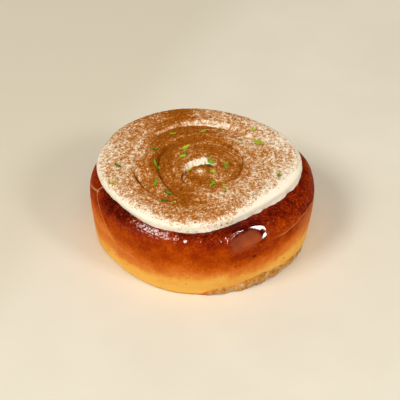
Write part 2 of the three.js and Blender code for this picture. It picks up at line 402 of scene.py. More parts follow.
bend = np.clip((height - 8) / 22, 0, 1) ** 2.8
wobble = SEAM_WOBBLE * (np.sin(height * 0.55) + 0.4 * np.sin(height * 1.7))
behind = wobble - (degrees - SEAM_AT_FOOT + SEAM_BENDS * bend) * MM_PER_DEGREE
seam_shows = smooth_step(height, 6, 11)
seam_edge = bell(behind, -0.1, 0.7) * seam_shows
step = SEAM_STEP * between(behind, 0, SEAM_STEP_WIDTH, 0, SEAM_HOLLOW) * seam_shows
print("deepest step behind the loose end, mm:", round(step.max(), 2))

# %% [markdown]
# Two short folds belong to the loose end: one crosses it on the left shoulder, and a faint one leaves it
# lower down. On the right the skin split along the rim of the mould as the dough rose, and left a small step.

# %% Bun: folds, and the split along the mould's rim
FOLDS = [  # start and end in degrees from +X and mm of height, how far each fades in degrees, and strength
    ((181.5, 26.2), (194.5, 30.1), (12, 1), 1), ((219.5, 14.3), (233, 13.4), (2, 6), 0.9),
]
FOLD_WIDTH, SPLIT_WIDTH = 0.6, 0.55
MOULD_RIM = 24.2
RIM_WAVES = [(11, 0.5, 90 / 11), (37, 0.2, 90 / 37)]
SPLIT_SHOWS = (308, 320, 346, 358)  # degrees where it starts, is full, starts to fade and is gone

fold_edge = np.zeros_like(height)
for (from_degrees, from_height), (to_degrees, to_height), (fade_in, fade_out), strength in FOLDS:
    fold_height = np.interp(degrees, (from_degrees, to_degrees), (from_height, to_height))
    fold_edge += strength * bell(height, fold_height, FOLD_WIDTH) * between(
        degrees, from_degrees - fade_in, from_degrees, to_degrees - fade_out / 2, to_degrees + fade_out / 2)

rim_shows = between(degrees, *SPLIT_SHOWS)
rim_height = MOULD_RIM + waves(around, RIM_WAVES)
above_rim = smooth_step(height - rim_height, -0.2, 1)
rim_edge = bell(height, rim_height, SPLIT_WIDTH) * rim_shows
print("vertices on a fold or the split:", int((fold_edge + rim_edge > 0.5).sum()))

# %% [markdown]
# On the front a blister sank back to a flat while the glaze was wet. Its floor dried dull, and glaze is left
# shining along the top and the right of the flat. A dent could be painted by hand; a flat is made by moving
# every vertex near it onto one plane. Two ovals say where: one for the floor's colour, which is darker and
# carries a painted sheen, and a wider and higher one for the flat.

# %% Bun: the sunken blister's floor and its flat


def oval(middle, middle_height, half_width, half_height, tilt, squareness):
    """How far out from an oval's middle each vertex of the skin is: 0 there, and 1 on the oval's edge."""
    sideways = across(middle)
    upwards = height - middle_height - tilt * sideways
    total = np.abs(sideways / half_width) ** squareness + np.abs(upwards / half_height) ** squareness
    return total ** (1 / squareness)


DULL_AT = 294
dull_reach = oval(DULL_AT, 27.5, 7.6, 3.4, tilt=0.08, squareness=2.8)
flat_reach = oval(296.3, 28.7, 9.8, 2.9, tilt=0.02, squareness=3)
edge_noise = 0.09 * bumps(skin, 2.5, 3, seed=12)
blister = 1 - smooth_step(dull_reach + edge_noise, 0.8, 1.05)
flat = 1 - smooth_step(flat_reach + 0.3 * edge_noise, 0.94, 1.08)
print("vertices in the flat:", int((flat > 0.5).sum()))

# %% [markdown]
# The glaze set along the icing in wrinkles and a few beads. They are real bumps, not a bump map, because a
# highlight shows the shape it lies on more than anything else does.

# %% Bun: wrinkles and beads of glaze
BEADS = [  # degrees from +X, height and width in mm
    (252.6, 31, 1.1), (257, 31.1, 1.1), (263, 30.2, 1.9), (270.5, 30.2, 1.1), (275, 30.8, 1.2),
    (279.5, 30.4, 1.3), (282.8, 30.9, 1.1), (310.5, 30.8, 1.4),
]
BEAD_HEIGHT, WRINKLE_HEIGHT, PILED_UP = 0.42, 0.12, 0.35
GRAINY_SHINE = (220, 230, 250, 262)  # degrees where thin, grainy glaze starts, is full, fades and is gone

beads = np.max([blob(direction, up, wide, wide / 1.6) for direction, up, wide in BEADS], axis=0)
wrinkled = smooth_step(height, 28, 31) * (1 - blister)
wrinkles = bumps(skin * (1, 1, 1.6), 1.3, 2, seed=9)
grainy = between(degrees, *GRAINY_SHINE)
lift = BEAD_HEIGHT * beads + WRINKLE_HEIGHT * wrinkled * (1 + 0.8 * grainy) * wrinkles
lift += PILED_UP * grainy * smooth_step(height, 29.3, 31.6)
print("thickest glaze, mm:", round(lift.max(), 2))

# %% [markdown]
# Now every vertex is moved once: outwards by all that swells the skin, and on the shoulder upwards by the
# glaze. A bun is never quite round, so slow waves and soft lumps come on top.

# %% Bun: move the skin
LUMPS_HEIGHT, GRAIN_HEIGHT = 0.28, 0.03
SEAM_RIDGE, FOLD_RIDGE, SPLIT_RIDGE, ABOVE_SPLIT = 0.2, 0.15, 0.12, 0.25
broad = bumps(skin, 13, 1, seed=3)
fine = bumps(skin, 2.2, 2, seed=8)

swell = waves(around, BUN_WAVES) - step + SEAM_RIDGE * seam_edge + FOLD_RIDGE * fold_edge
swell += SPLIT_RIDGE * rim_edge + ABOVE_SPLIT * rim_shows * above_rim
swell += on_side * (LUMPS_HEIGHT * broad + GRAIN_HEIGHT * fine)

# The foot is drawn in at the front; the shoulder bulges at the back right, and the side on the left.
swell -= 1.2 * bell(across(283), 0, 36) * (1 - smooth_step(height, 1, 11))
swell += 0.7 * bell(across(16), 0, 14) * smooth_step(height, 20, 28)
swell += 0.6 * bell(across(203), 0, 13) * bell(height, 19, 9)
swell += lift * (1 - wrinkled)
skin = polar(radius + outwards * swell, around, height + lift * wrinkled * on_side, AXIS)
print("widest, mm:", round(np.ptp(skin[:, 0]), 1))

# %% Bun: press the flat
FLAT_FACES = np.radians((295.7, 40.2))  # round from +X and up from level, halfway between eye and lamp
FLAT_DEPTH, DEEPEST_FILL = 0.75, 0.7

facing = polar(math.cos(FLAT_FACES[1]), FLAT_FACES[0], math.sin(FLAT_FACES[1]))[0]
middle = np.argmin(np.where(on_side > 0.5, flat_reach, np.inf))
above_flat = np.maximum((skin - skin[middle]) @ facing + FLAT_DEPTH, -DEEPEST_FILL)
put(bun, skin - np.outer(above_flat * flat * on_side, facing))
print("middle of the flat, mm:", np.round(skin[middle], 1))

# %% [markdown]
# The oven browned the skin from the top down: the part inside the mould stayed yellow, and the shoulder
# went nearly black. The browning follows the bun's height and folds, which no texture knows about, so it is
# worked out for each vertex and handed to the material as an attribute.

# %% Bun: how dark it baked, with some painted shade
BAKED = [  # mm above the table, and how dark: 0 is yellow and 1 nearly black
    (0, 0.1), (8.5, 0.13), (10, 0.17), (12, 0.235), (14, 0.3), (16, 0.355), (18, 0.41), (20, 0.47),
    (24, 0.54), (28, 0.63), (30.5, 0.76), (32, 0.9),
]
BROWNS_LOWER = [  # degrees from +X, and by how many mm the browning comes further down at the foot
    (0, 0), (60, 1), (150, 4), (216, 4), (226, 3.2), (236, 2.9), (250, 1.1), (265, 0), (280, -0.5), (295, 1),
    (320, 1), (340, 1.1), (360, 0),
]
SPOTS = [  # degrees from +X, height, width and height of the spot in mm, and how much darker it baked
    (298.4, 19.2, 1.2, 0.9, 0.35), (329.6, 20.3, 1, 1, 0.3), (288, 16.5, 0.7, 0.7, 0.2),
    (297, 21, 16, 8, 0.12), (251, 22, 8, 6, 0.07), (240, 17, 14, 8, 0.04), (316, 18, 9, 8, 0.03),
    (275, 9, 9, 6, -0.03),
]
# Degrees where each of these starts, is full, starts to fade and is gone.
DARK_SHOULDER, PAINTED_SHADE_SIDE = (306, 322, 350, 359.9), (280, 292, 340, 359.9)
# Where a painted sheen lies on the far right of the side.
PAINTED_SHEEN_EDGE = (326, 342, 350, 359.9)
EVENLY_DARK = 0.83

lower = read(BROWNS_LOWER, degrees) * (1 - smooth_step(height, 9, 17))
baked = read(BAKED, height + lower)

# The shoulder is evenly dark on the right, down to the split, and nearly black on the front left.
dark_right = between(degrees, *DARK_SHOULDER) * above_rim
baked = mix(baked, EVENLY_DARK, 0.85 * dark_right * smooth_step(degrees, 324, 338))
behind_seam = between(behind, 0, 0.8, 24, 50) * seam_shows
dark_left = bell(degrees, 214, 22) * smooth_step(height, 26, 29.5) * (1 - behind_seam)
baked += 0.27 * dark_left

# The side is darker on the left, and on the front right with painted shade. It is paler where the loose end
# kept the oven's heat off it.
# Painted shade on the front right of the side.
baked += 0.045 * between(degrees, *PAINTED_SHADE_SIDE) * bell(height, 20, 7)
baked += 0.07 * bell(degrees, 180, 34) * bell(height, 24, 8)
baked -= 0.13 * behind_seam * between(height, 11, 19, 20, 27)

# Burnt sugar makes a ring round the right of the blister; blotches and spots are strewn over it all.
ring = bell(dull_reach + edge_noise, 1.16, 0.3) * smooth_step(across(DULL_AT), -9, 6)
baked += 0.3 * ring * (1 - blister) * smooth_step(height, 24, 27)
baked += 0.06 * blister + 0.05 * broad + 0.02 * fine
baked += sum(darker * blob(*place) for *place, darker in SPOTS)
print("darkest and palest:", round(baked.max(), 2), round(baked.min(), 2))

# %% Bun: where its glaze shines
GLAZED = [  # degrees from +X, and how much of the glaze's shine is there
    (0, 0.1), (180, 0.1), (212, 0.25), (224, 1), (246, 1), (252, 0.45), (260, 0.8), (264, 0.8),
    (268, 0.4), (280, 0.6), (284, 1), (307, 1), (316, 0.2), (360, 0.1),
]
SOAKED_IN = (272, 284, 350, 359.9)  # degrees where the icing drank the glaze beside it

glaze = read(GLAZED, degrees) * smooth_step(height, 26.4, 29.5)
glaze *= 1 - 0.9 * between(degrees, *SOAKED_IN) * smooth_step(height, 30.8, 31.4)

# On the flat a thin line of glaze is left along its top left, and a wider one at its right.
glazed_from = mix(0.9, 0.74, smooth_step(degrees, 298, 303)) + 0.12 * bell(degrees, 296.5, 2.5)
ragged_reach = flat_reach + 1.6 * edge_noise * smooth_step(degrees, 294, 300)
shining = smooth_step(ragged_reach, glazed_from, glazed_from + 0.05)
shining *= np.maximum(smooth_step(height, 29.4, 30.3), smooth_step(degrees, 302.5, 304.5))
shining *= 1 - bell(height, 28.9, 1)
glaze = mix(glaze, shining, flat) * (1 - 0.8 * behind_seam)
print("share of the skin that shines:", round((glaze > 0.5).mean(), 3))

# %% Bun: hand it all to the material
# Painted sheen: a pale salmon stripe on the far right of the side, where light glances off it.
painted_edge_sheen = 0.35 * between(degrees, *PAINTED_SHEEN_EDGE) * between(height, 10, 15, 21, 25)
threads = dark_right + dark_left + bell(height, 31, 2.4)
for name, values in (("baked", baked), ("glaze", glaze), ("grainy", grainy), ("threads", threads),
                     ("edge", seam_edge + 0.8 * fold_edge + 0.8 * rim_edge + painted_edge_sheen), ("blister", blister)):
    note(bun, name, np.clip(values, 0, 1))
print("attributes:", *bun.data.attributes.keys())

# %% Bun: material
UNEVEN = 0.14  # how much lighter and darker the pores and blotches make the browning, as a share of it
NOISE_RANGE = {"From Min": 0.3, "From Max": 0.7}  # most of what a noise gives lies between these


def baked_dough(tree):
    """Egg-washed brioche dough under sugar glaze: yellow where the mould shaded it, nearly black on top."""
    position = add(tree, "TexCoord").outputs["Object"]
    baked, edge, glaze, threads, blister_floor, grainy = [
        add(tree, "Attribute", attribute_name=name).outputs["Fac"]
        for name in ("baked", "edge", "glaze", "threads", "blister", "grainy")]

    # Pores of 1 mm and blotches of 5 mm make the browning uneven, most of all where it is dark.
    pores = add(tree, "TexNoise", {"Vector": position, "Scale": 1000 / 1, "Detail": 3, "Roughness": 0.65})
    mottle = add(tree, "TexNoise", {"Vector": position, "Scale": 1000 / 5, "Detail": 4, "Roughness": 0.6})
    level = baked
    for noise in (pores, mottle):
        part = add(tree, "MapRange", {"Value": noise, "To Min": -UNEVEN, "To Max": UNEVEN} | NOISE_RANGE)
        share = add(tree, "Math", {0: part, 1: baked}, operation="MULTIPLY")
        level = add(tree, "Math", {0: level, 1: share}, operation="ADD")

    # Where it is darkest, a net of paler threads about 1.5 mm apart is left between the burnt spots.
    net = add(tree, "TexNoise", {"Vector": position, "Scale": 1000 / 1.9, "Detail": 2, "Distortion": 0.8})
    centred = add(tree, "Math", {0: net, 1: 0.5}, operation="SUBTRACT")
    away = add(tree, "Math", {0: centred}, operation="ABSOLUTE")
    thread = add(tree, "MapRange", {"Value": away, "From Max": 0.05, "To Min": 0.22, "To Max": 0},
                 interpolation_type="SMOOTHSTEP")
    pale = add(tree, "Math", {0: thread, 1: threads}, operation="MULTIPLY")
    level = add(tree, "Math", {0: level, 1: pale}, operation="SUBTRACT")

    # A few bubbles of the skin burst and burnt: dark specks of up to 1 mm, in half of the cells of 3.5 mm.
    cells = add(tree, "TexVoronoi", {"Vector": position, "Scale": 1000 / 3.5})
    speck = add(tree, "MapRange", {"Value": cells.outputs["Distance"], "From Min": 0.05, "From Max": 0.15,
                                   "To Min": 0.25, "To Max": 0}, interpolation_type="SMOOTHSTEP")
    chosen = add(tree, "Math", {0: cells.outputs["Color"], 1: 0.5}, operation="GREATER_THAN")
    burnt = add(tree, "Math", {0: speck, 1: chosen}, operation="MULTIPLY")
    level = add(tree, "Math", {0: level, 1: burnt}, operation="ADD")

    colour = add(tree, "ValToRGB", {"Fac": level}, stops=[
        (0.1, "#fcc35e"), (0.17, "#f5af4e"), (0.24, "#e88b37"), (0.31, "#dc7528"), (0.37, "#d4671b"),
        (0.43, "#c7590c"), (0.49, "#b94a04"), (0.55, "#ae4303"), (0.62, "#9d3504"), (0.72, "#8a2604"),
        (0.85, "#661404"), (1, "#420703")])
    # The loose end, the folds and the split are paler, and the far right of the side carries a painted sheen.
    tint = add(tree, "MixRGB", {"Fac": edge, "Color1": colour, "Color2": linear("#d8935c")})
    # Painted sheen: on the blister's floor the colour is mixed, in grains, towards a pale pinkish brown, a
    # painted reflection of the right soft box.
    grains = add(tree, "MapRange", {"Value": pores, "To Min": 0.1, "To Max": 0.4} | NOISE_RANGE)
    painted_sheen = add(tree, "Math", {0: blister_floor, 1: grains}, operation="MULTIPLY")
    skin = add(tree, "MixRGB", {"Fac": painted_sheen, "Color1": tint, "Color2": linear("#a9744f")})
    bump = add(tree, "Bump", {"Height": pores, "Strength": 0.3, "Distance": 0.3 * MM})
    ripple = add(tree, "Bump", {"Height": net, "Strength": 0.3, "Distance": 0.25 * MM})

    # On the left the glaze dried thin, so the grain of the skin, 1.3 mm across, breaks up its shine.
    grain = add(tree, "TexNoise", {"Vector": position, "Scale": 1000 / 1.3, "Detail": 2, "Roughness": 0.6})
    broken = add(tree, "Math", {0: grain, 1: grainy}, operation="MULTIPLY")
    shine = add(tree, "Bump", {"Height": broken, "Strength": 1, "Distance": 0.3 * MM, "Normal": ripple})
    return add(tree, "BsdfPrincipled", {
        "Base Color": skin, "Roughness": 0.6, "Specular IOR Level": 0.02, "Normal": bump,
        "Coat Weight": glaze, "Coat Roughness": 0.08, "Coat IOR": 1.8, "Coat Normal": shine,
        "Subsurface Weight": 0.08, "Subsurface Scale": 1.5 * MM, "Subsurface Radius": (1, 0.4, 0.15)})


dress(bun, "glazed_brioche", baked_dough)
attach(bun, "root")
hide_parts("bun")

# %% [markdown]
# ## The icing
#
# Thick cream-cheese icing was dropped on the middle and pushed outwards with a palette knife in one spiral
# sweep, so its top carries one groove that winds outwards, and its edge hangs over the shoulder in a soft
# lobe. A sculptor would carve the groove; here the disc is dense enough for a formula to lower each vertex.
# It asks how far inwards of the groove's crest line a place lies, on each lap of the spiral, and reads the
# depth from the groove's section.

# %% Icing: the disc
ICING = Vector((-1.8, 2.8, 0))  # the disc's middle, from the bun's axis
RIM, LIP, CREST, MIDDLE = (43.5, 33.4), (42.3, 30.6), (36, 36.4), (0, 35.4)
UNDER, UNDER_RADIUS = 31.7, 39.5

icing_outline = outline(
    line((0, UNDER), (UNDER_RADIUS, UNDER), 8),
    line((UNDER_RADIUS, UNDER), LIP, 5),
    (LIP, (mix(LIP[0], RIM[0], 0.67), LIP[1]), (RIM[0], mix(LIP[1], RIM[1], 0.33)), RIM, 14),
    (RIM, (RIM[0], mix(RIM[1], CREST[1], 0.75)), (mix(RIM[0], CREST[0], 0.35), CREST[1]), CREST, 24),
    (CREST, (CREST[0] * 0.65, CREST[1]), (CREST[0] * 0.45, MIDDLE[1]), MIDDLE, 108),
)
icing = spun("icing_swirl", icing_outline, SPIN_STEPS)

# %% Icing: its uneven edge
ICING_WAVES = [(2, 0.8, 5), (3, 1.7, 14), (4, 0.9, -4)]  # count, mm and direction of each wave
LEAN, THICK_TOWARDS = 0.4, math.radians(-40)
LEFT_LOBE, BACK_LEFT_FLAT = 0.6, 1.3
LIP_PUSHES = [  # degrees from +X, degrees to where it fades, and mm that the lip is pushed out there
    (-78, 50, 1.2), (-16, 24, 1.1), (-138, 28, -0.9),
]

x, y, height = places(icing).T.copy()
around = np.arctan2(y, x)
towards = np.degrees(around)
radius = np.hypot(x, y)
outwards = radius / RIM[0]
upper_side = height > UNDER + 0.1
edge = waves(around, ICING_WAVES) + LEFT_LOBE * bell(np.cos(around), -1, 0.3)
edge -= BACK_LEFT_FLAT * bell(turned(towards, 160), 0, 24)
moved = radius + outwards ** 2 * edge

# The pushed-out edge has small folds along its lower side. It is most ragged on the front right.
ragged = 0.36 + 1.08 * bell(towards, -42, 40)
folds = ragged * bumps(polar(radius, around, height), 3.6, 2, seed=21)
low_edge = bell(height, LIP[1] + 0.4, 2.2) * smooth_step(radius, 41, 42.5)
moved += low_edge * (folds + sum(push * bell(towards, way, fade) for way, fade, push in LIP_PUSHES))

x, y, _ = polar(moved, around, height, ICING).T
height += smooth_step(height, LIP[1], RIM[1]) * outwards ** 3 * LEAN * np.cos(around - THICK_TOWARDS)
print("icing's width, mm:", round(np.ptp(x), 1))

# %% Icing: the knife's groove
GROOVE = Vector((2, 0, 0))
DEPTH, FLOOR_WIDTH = 2.2, 8.8
LAPS, STROKE_STEPS = 3, 9
SWEEP = np.array([  # turns, mm from the middle, share of the depth, mm of wall, share creased, share bare
    (0, 5.2, 0, 2, 0, 0), (0.1, 5.8, 0.6, 4, 0, 0.6), (0.18, 6.4, 1, 5.5, 0, 1), (0.28, 7.8, 1, 5.8, 0, 1),
    (0.41, 8.3, 0.9, 4, 0, 1), (0.52, 9.8, 0.6, 2, 0.1, 0.7), (0.6, 11.7, 0.4, 1.5, 0.3, 0),
    (0.8, 14.4, 0.3, 0.9, 0.4, 0), (0.9, 16.2, 0.6, 0.9, 0.6, 0), (1, 15.8, 0.7, 0.9, 0.7, 0),
    (1.1, 18, 0.7, 0.9, 0.6, 0), (1.18, 19.6, 0.3, 0.9, 0.3, 0), (1.27, 20.6, 0, 1.5, 0, 0),
    (1.38, 23, 0.4, 0.9, 0.6, 0), (1.47, 22.2, 0.8, 0.9, 0.7, 0), (1.55, 21.8, 0.9, 0.9, 0.35, 0),
    (1.62, 23, 1, 0.9, 0.6, 0), (1.7, 27, 0.7, 0.9, 1, 0), (1.78, 28, 0.3, 0.9, 0.3, 0),
    (1.9, 28, 0.15, 0.9, 0.1, 0), (2.06, 28.9, 0.3, 1.2, 0.15, 0), (2.14, 31, 0.4, 1.5, 0, 0),
    (2.185, 32.6, 0.8, 2, 0, 0.1), (2.21, 33.3, 1, 2.2, 0, 0.8), (2.26, 34, 1, 1.8, 0, 0.75),
    (2.29, 34, 0.8, 1.4, 0, 0.45), (2.34, 33.4, 0.6, 1.2, 0, 0.35), (2.42, 32.6, 0.4, 0.9, 0, 0),
    (2.51, 32.4, 0.6, 0.9, 0.1, 0), (2.55, 32.2, 0.8, 0.9, 1.2, 0), (2.6, 31.8, 0.9, 0.9, 1.3, 0),
    (2.65, 31, 0.6, 0.9, 1, 0), (2.7, 29.8, 0.2, 0.9, 0.3, 0),
])

# A hand doesn't turn as the table does, from point to point, so the table is read finely and smoothed.
fine_turns = np.arange(-0.1, 3.2, 0.01)
stroke = np.hanning(STROKE_STEPS) / np.hanning(STROKE_STEPS).sum()
swept = [np.convolve(np.interp(fine_turns, SWEEP[:, 0], column), stroke, "same") for column in SWEEP[:, 1:].T]

angle = np.arctan2(y - GROOVE.y, x - GROOVE.x) % TURN
from_middle = np.hypot(x - GROOVE.x, y - GROOVE.y)
carved, crease, fold, bare = np.zeros((4, len(x)))
for lap in range(LAPS):
    turns = angle / TURN + lap
    crest, deep, wall, creased, bared = [np.interp(turns, fine_turns, column) for column in swept]
    inwards = crest + 0.15 * np.sin(31 * turns) - from_middle
    floor = np.clip(1 - (inwards - wall) / (FLOOR_WIDTH - wall), 0, 1)
    carved = np.maximum(carved, deep * smooth_step(inwards, 0, wall) * floor)
    lifted = bell(turns, 1.02, 0.2)
    crease += creased * bell(inwards, mix(wall, -0.3, lifted), 0.95)
    bare += bared * between(inwards, 0, 0.3 * wall, 0.9 * wall, 1.2 * wall)
    fold += lifted * between(inwards, -0.3, 0.5, 0.5, 5)
print("deepest share of the groove:", round(carved.max(), 2))

# %% [markdown]
# Where the knife was first set down it left a small curl of icing. The finest relief comes last: a gentle
# unevenness, and the strokes of the knife's edge, which run along the spiral.

# %% Icing: the curl in the middle, and the relief of the whole top
CURL = Vector((0, -6, 0))
CURL_HEIGHT, CREASE_DEPTH, FOLD_HEIGHT = 0.9, 0.9, 0.8
UNEVEN_HEIGHT, LUMP_HEIGHT, STROKE_HEIGHT = 0.22, 0.07, 0.1

curl_around = np.arctan2(y - CURL.y, x - CURL.x)
curl_edge = 7.5 + 1.2 * np.cos(2 * (curl_around - math.radians(38)))
curl_inside = curl_edge - np.hypot(x - CURL.x, y - CURL.y)
curl_side = 0.5 + 0.5 * np.cos(curl_around - math.radians(140))
curl = curl_side * smooth_step(curl_inside, 0, 0.9)
curl_crease = np.minimum(1, 1.6 * curl_side) * bell(curl_inside, -0.3, 0.8)

spread = np.column_stack((x, y, 0 * x))
broad = bumps(spread, 9, 1, seed=4)
fine = bumps(spread, 2.4, 2, seed=5)
strokes = bumps(np.column_stack((from_middle * 3.2, angle * from_middle / 3, 0 * x)), 3, 2, seed=6)

edge_fades = 1 - smooth_step(radius, 38, 42)
relief = -DEPTH * carved + CURL_HEIGHT * curl - CREASE_DEPTH * (crease + curl_crease) + FOLD_HEIGHT * fold
relief += UNEVEN_HEIGHT * broad + LUMP_HEIGHT * fine + STROKE_HEIGHT * strokes * edge_fades
height += relief * upper_side * (1 - smooth_step(radius, 41.5, 43.2))
put(icing, np.column_stack((AXIS.x + x, AXIS.y + y, height)))
print("relief of the icing, mm:", round(relief.min(), 2), "to", round(relief.max(), 2))

# %% [markdown]
# The cinnamon was shaken on by hand and lies unevenly: thick at the back and in the swirl, thin in a ring
# outside it, and hardly at all on the steep walls. Each vertex gets the share that is covered, as how far a
# noise has to be shifted for that share of its specks to show.

# %% Icing: how thick the cinnamon lies
THICKEST, THINNEST, NOISE_SPREAD = 0.985, 0.002, 0.058
DUSTED = (  # direction from +X, how thick it lies at 0.65 and at 0.88 of the radius, and where it stops
    (-180, 0.65, 0.49, 1.03), (-150, 0.84, 0.63, 1.01), (-122, 0.88, 0.62, 0.99), (-100, 0.9, 0.76, 1.024),
    (-85, 0.77, 0.77, 1.028), (-70, 0.61, 0.69, 1.03), (-58, 0.58, 0.54, 1.00), (-45, 0.64, 0.35, 0.98),
    (-30, 0.66, 0.34, 0.97), (-15, 0.64, 0.32, 0.97), (5, 0.62, 0.42, 1.03), (30, 0.62, 0.36, 1.03),
    (45, 0.7, 0.36, 1.06), (62, 0.72, 0.56, 1.1), (85, 0.85, 0.8, 1.1), (108, 0.94, 0.97, 1.1),
    (124, 0.94, 0.975, 1.1), (138, 0.82, 0.75, 1.1), (165, 0.63, 0.44, 1.04), (180, 0.65, 0.49, 1.03),
)
THIN_SPOTS = (  # x, y and size in mm, and how much of the powder is missing
    (-0.4, -4.6, 3, 0.6), (21.5, 22.6, 3, 0.6), (20.3, -16.8, 2.4, 0.6), (-31.5, -1, 3, 0.6),
    (6.8, -7, 7, 0.18),
)

directions, *columns = zip(*DUSTED)
further_in, further_out, stops_at = [np.interp(towards, directions, column) for column in columns]
dust = 0.945 - 0.12 * smooth_step(x, 8, 17)
dust = mix(dust, further_in, smooth_step(outwards, 0.45, 0.62))
dust = mix(dust, further_out, smooth_step(outwards, 0.68, 0.88))
dust += 0.15 * carved + 0.3 * crease + 0.12 * broad + 0.1 * strokes
dust = np.clip(dust, 0, 0.98) * (1 - 0.88 * np.clip(bare, 0, 1))
for spot_x, spot_y, size, missing in THIN_SPOTS:
    dust *= 1 - missing * bell(np.hypot(x - spot_x, y - spot_y), 0, size)
dust *= (1 - smooth_step(outwards, stops_at - 0.12, stops_at + 0.01)) * upper_side
share = np.clip(dust, THINNEST, THICKEST)
note(icing, "dust", NOISE_SPREAD * np.log(share / (1 - share)))
# The creases are handed on too, for the painted shade at their bottoms.
note(icing, "crease", np.clip(crease + curl_crease, 0, 1))
print("share of the icing's top under cinnamon:", round(dust[upper_side].mean(), 2))

# %% Icing: material


def dusted_icing(tree):
    """Cream-cheese icing, soft and a little see-through, under a dusting of finely ground cinnamon."""
    position = add(tree, "TexCoord").outputs["Object"]
    dust, crease = [add(tree, "Attribute", attribute_name=name).outputs["Fac"] for name in ("dust", "crease")]

    # Specks of 0.2 to 1 mm: the noise says how much more or less powder lies at a place than round about.
    specks = add(tree, "TexNoise", {"Vector": position, "Scale": 1000 / 1.15, "Detail": 4, "Roughness": 0.85})
    patches = add(tree, "TexNoise", {"Vector": position, "Scale": 1000 / 3, "Detail": 4, "Roughness": 0.7})
    uneven = add(tree, "MapRange", {"Value": patches, "To Min": -0.07, "To Max": 0.07} | NOISE_RANGE)
    level = add(tree, "Math", {0: specks, 1: dust}, operation="ADD")
    mask = add(tree, "MapRange", {"Value": level, "From Min": 0.42, "From Max": 0.6})

    # Thin powder lets the cream through and looks tan; it grows browner as it gets thicker, unevenly in
    # patches of 3 mm. Down a crease the colour is painted nearly black: painted shade at its bottom.
    thick = add(tree, "Math", {0: level, 1: uneven}, operation="ADD")
    dusted = add(tree, "ValToRGB", {"Fac": thick}, stops=[
        (0.4, "#fdf5e2"), (0.445, "#f5e6cf"), (0.48, "#e9ccaa"), (0.515, "#dbb17f"), (0.55, "#cc945a"),
        (0.59, "#bb7735"), (0.64, "#aa6017"), (0.72, "#975209"), (0.88, "#783b02")])
    # Painted shade: the deeper into a crease, the nearer the colour comes to black.
    deep = add(tree, "MapRange", {"Value": crease, "From Min": 0.25, "From Max": 1, "To Max": 0.85},
               interpolation_type="SMOOTHSTEP")
    colour = add(tree, "MixRGB", {"Fac": deep, "Color1": dusted, "Color2": linear("#4e2204")})

    rough = add(tree, "MapRange", {"Value": mask, "To Min": 0.45, "To Max": 0.95})
    soft = add(tree, "MapRange", {"Value": mask, "To Min": 0.25, "To Max": 0})
    bump = add(tree, "Bump", {"Height": mask, "Strength": 0.5, "Distance": 0.12 * MM})
    return add(tree, "BsdfPrincipled", {
        "Base Color": colour, "Roughness": rough, "Specular IOR Level": 0.04, "Normal": bump,
        "Subsurface Weight": soft, "Subsurface Scale": 1.2 * MM, "Subsurface Radius": (1, 0.8, 0.5)})


dress(icing, "cream_cheese_icing_with_cinnamon", dusted_icing)
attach(icing, "root")
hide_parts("icing")

# %% [markdown]
# ## The lime zest
#
# A zester cuts thin strips of peel, bright green outside and paler inside, which curl as they dry. They
# could be curves with a flat section, but a curve can't be pressed to the icing. So each strip is a small
# grid: a ray cast downwards finds the icing under every point of it. One solidify thickens them all.

# %% Zest: strips
ZEST_WIDTH, ZEST_THICKNESS, TIP_SHARE = 1.65 * MM, 0.42 * MM, 0.4
SHREDS = [  # x and y from the bun's axis and length, in mm, heading in degrees, bow to one side in mm
    (25.6, 16.6, 6.5, -41, 0.7), (11, 0.6, 5.6, 78, -0.5), (4.2, 3.9, 4.8, -49, 0.5),
    (3.1, -0.4, 3.9, -30, 0.2), (5.6, -12.3, 5.4, 110, 0.6), (4.6, -14, 4.4, 62, -0.5),
    (-19.6, 0.9, 5, -52, 0.3), (-19.5, -12.2, 5.4, 84, 0.4), (-14.4, -19.6, 4.6, -45, 0.6),
    (-15.6, -26, 3.6, 5, 0.4), (-6.9, 13.8, 4.6, 38, -0.2), (-7, 9.4, 3.4, 58, 0.4),
    (-8.2, 7.2, 3.2, 30, -0.4), (-20.9, 12.3, 3.4, -6, -0.5), (-12.7, 23.7, 3.2, 8, -0.4),
    (1.2, 25, 4, 34, 0.2), (24, 25.5, 2.4, -48, 0.1), (-36.6, -1, 3.8, -40, 0.2),
    (-38.4, -13, 3.2, 14, 0.5), (34.1, -8.7, 2.6, 80, 0.1), (-4.8, -1.2, 3, 24, 0.2),
    (5.2, -4.6, 2.6, 8, -0.2), (0, 2.6, 1.8, 35, 0.1), (-11.4, -26.4, 1.9, 66, 0.1),
    (10, -14.8, 1.8, 10, 0.1), (10.4, -19.2, 1.6, 62, 0.1), (8.4, 27, 1.8, 25, 0.1),
    (17.6, 19, 1.7, 40, 0.1),
]

# %% Zest: lay the strips on the icing
LIFTED, CURLED, TALLER_THAN_ALL = 0.12 * MM, 0.55 * MM, 60 * MM

icing_mesh = bmesh.new()
icing_mesh.from_mesh(icing.data)
icing_mesh.faces.ensure_lookup_table()
icing_surface = BVHTree.FromBMesh(icing_mesh)


def icing_below(x, y):
    """The point of the icing's top at a place, its normal and its face."""
    return icing_surface.ray_cast(Vector((x, y, TALLER_THAN_ALL)), Vector((0, 0, -1)))[:3]


